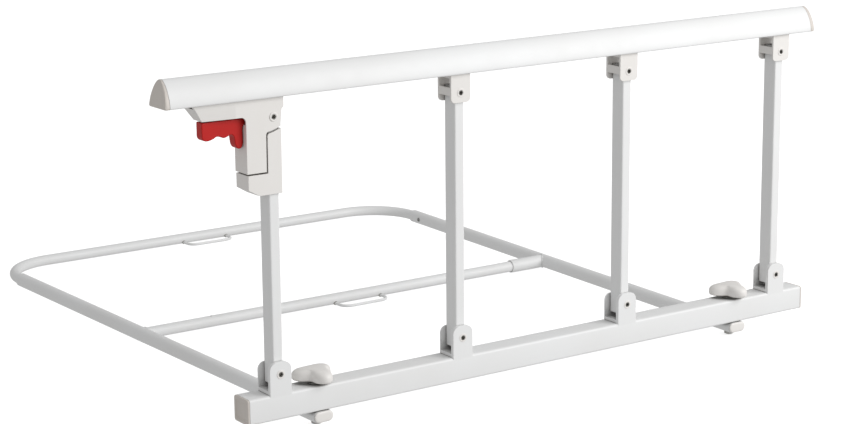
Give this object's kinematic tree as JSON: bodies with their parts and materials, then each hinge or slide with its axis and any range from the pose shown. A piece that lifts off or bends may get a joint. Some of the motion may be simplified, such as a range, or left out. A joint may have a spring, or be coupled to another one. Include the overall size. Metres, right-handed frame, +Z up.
{
  "type": "bed assist rail",
  "caption": "Fold-down bed side rail: a handrail on parallel posts over a bottom rail, with a red latch trigger, hand knobs and a flat under-mattress tube frame.",
  "frame": {"origin": "middle of the whole object footprint, at its lowest point (the tips of the clamp bolts)", "axes": "+X along both rails, from the latch end; +Y from the rail towards the far bar, under the mattress; +Z up"},
  "size_m": [0.9384, 0.8782, 0.4185],
  "materials": {
    "white_paint": "satin white powder coat, very fine orange peel",
    "white_plastic": "satin injection-moulded white plastic",
    "cap_plastic": "satin moulded plastic, slightly warm light grey",
    "red_plastic": "semi-gloss moulded red plastic",
    "zinc_steel": "zinc-plated fasteners, slightly dull",
    "button_steel": "dark plated spring buttons"
  },
  "bodies": {
    "base_frame": {"bottom_rail": "white_paint", "bottom_cap_left": "cap_plastic", "bottom_cap_right": "cap_plastic", "foot_bracket_1": "white_paint", "foot_bracket_2": "white_paint", "foot_bracket_3": "white_paint", "foot_bracket_4": "white_paint", "foot_pin_1": "zinc_steel", "foot_pin_2": "zinc_steel", "foot_pin_3": "zinc_steel", "foot_pin_4": "zinc_steel", "arm_left": "white_paint", "arm_right": "white_paint", "arm_plug_left": "white_plastic", "arm_plug_right": "white_plastic", "far_bow": "white_paint", "cross_sleeve": "white_paint", "cross_bar": "white_paint", "strap_loop_far": "white_paint", "strap_loop_middle": "white_paint", "knob_washer_left": "zinc_steel", "knob_washer_right": "zinc_steel", "clamp_nut_left": "zinc_steel", "clamp_nut_right": "zinc_steel"},
    "post_1": {"post_1": "white_paint", "latch_socket": "white_plastic", "socket_screw": "zinc_steel"},
    "post_2": {"post_2": "white_paint"},
    "post_3": {"post_3": "white_paint"},
    "post_4": {"post_4": "white_paint"},
    "handrail": {"top_rail": "white_paint", "top_cap_left": "cap_plastic", "top_cap_right": "cap_plastic", "head_bracket_2": "white_plastic", "head_bracket_3": "white_plastic", "head_bracket_4": "white_plastic", "head_pin_1": "zinc_steel", "head_pin_2": "zinc_steel", "head_pin_3": "zinc_steel", "head_pin_4": "zinc_steel", "latch_housing": "white_plastic", "housing_screw_1": "zinc_steel", "housing_screw_2": "zinc_steel", "latch_spring": "zinc_steel"},
    "trigger": {"trigger": "red_plastic", "latch_bolt": "zinc_steel"},
    "knob_left": {"hand_knob_left": "white_plastic", "clamp_bolt_left": "zinc_steel"},
    "knob_right": {"hand_knob_right": "white_plastic", "clamp_bolt_right": "zinc_steel"},
    "button_left": {"snap_button_left": "button_steel"},
    "button_right": {"snap_button_right": "button_steel"}
  },
  "joints": [
    {"name": "post_1_fold", "type": "hinge", "parent": "base_frame", "child": "post_1", "pos_m": [-0.33375, -0.41166, 0.0725], "axis": [0, -1, 0], "range_deg": [0, 84]},
    {"name": "post_2_fold", "type": "hinge", "parent": "base_frame", "child": "post_2", "pos_m": [-0.08375, -0.41166, 0.0725], "axis": [0, -1, 0], "range_deg": [0, 84]},
    {"name": "post_3_fold", "type": "hinge", "parent": "base_frame", "child": "post_3", "pos_m": [0.16625, -0.41166, 0.0725], "axis": [0, -1, 0], "range_deg": [0, 84]},
    {"name": "post_4_fold", "type": "hinge", "parent": "base_frame", "child": "post_4", "pos_m": [0.41625, -0.41166, 0.0725], "axis": [0, -1, 0], "range_deg": [0, 84]},
    {"name": "handrail_level", "type": "hinge", "parent": "post_1", "child": "handrail", "pos_m": [-0.33375, -0.41166, 0.3655], "axis": [0, -1, 0], "range_deg": [-84, 0]},
    {"name": "trigger_lift", "type": "slide", "parent": "handrail", "child": "trigger", "axis": [0, 0, 1], "range_m": [0, 0.008], "stiffness_N_per_m": 500, "springref_m": -0.004, "deforming": ["latch_spring"]},
    {"name": "knob_left_turn", "type": "hinge", "parent": "base_frame", "child": "knob_left", "pos_m": [-0.27897, -0.41166, 0.0545], "axis": [0, 0, 1], "continuous": true},
    {"name": "knob_right_turn", "type": "hinge", "parent": "base_frame", "child": "knob_right", "pos_m": [0.35027, -0.41166, 0.0545], "axis": [0, 0, 1], "continuous": true},
    {"name": "button_left_press", "type": "slide", "parent": "base_frame", "child": "button_left", "axis": [-1, 0, 0], "range_m": [0, 0.0025], "stiffness_N_per_m": 800, "springref_m": -0.002},
    {"name": "button_right_press", "type": "slide", "parent": "base_frame", "child": "button_right", "axis": [1, 0, 0], "range_m": [0, 0.0025], "stiffness_N_per_m": 800, "springref_m": -0.002}
  ],
  "couplings": [
    {"joint": "post_2_fold", "follows": "post_1_fold", "ratio": 1},
    {"joint": "post_3_fold", "follows": "post_1_fold", "ratio": 1},
    {"joint": "post_4_fold", "follows": "post_1_fold", "ratio": 1},
    {"joint": "handrail_level", "follows": "post_1_fold", "ratio": -1}
  ]
}
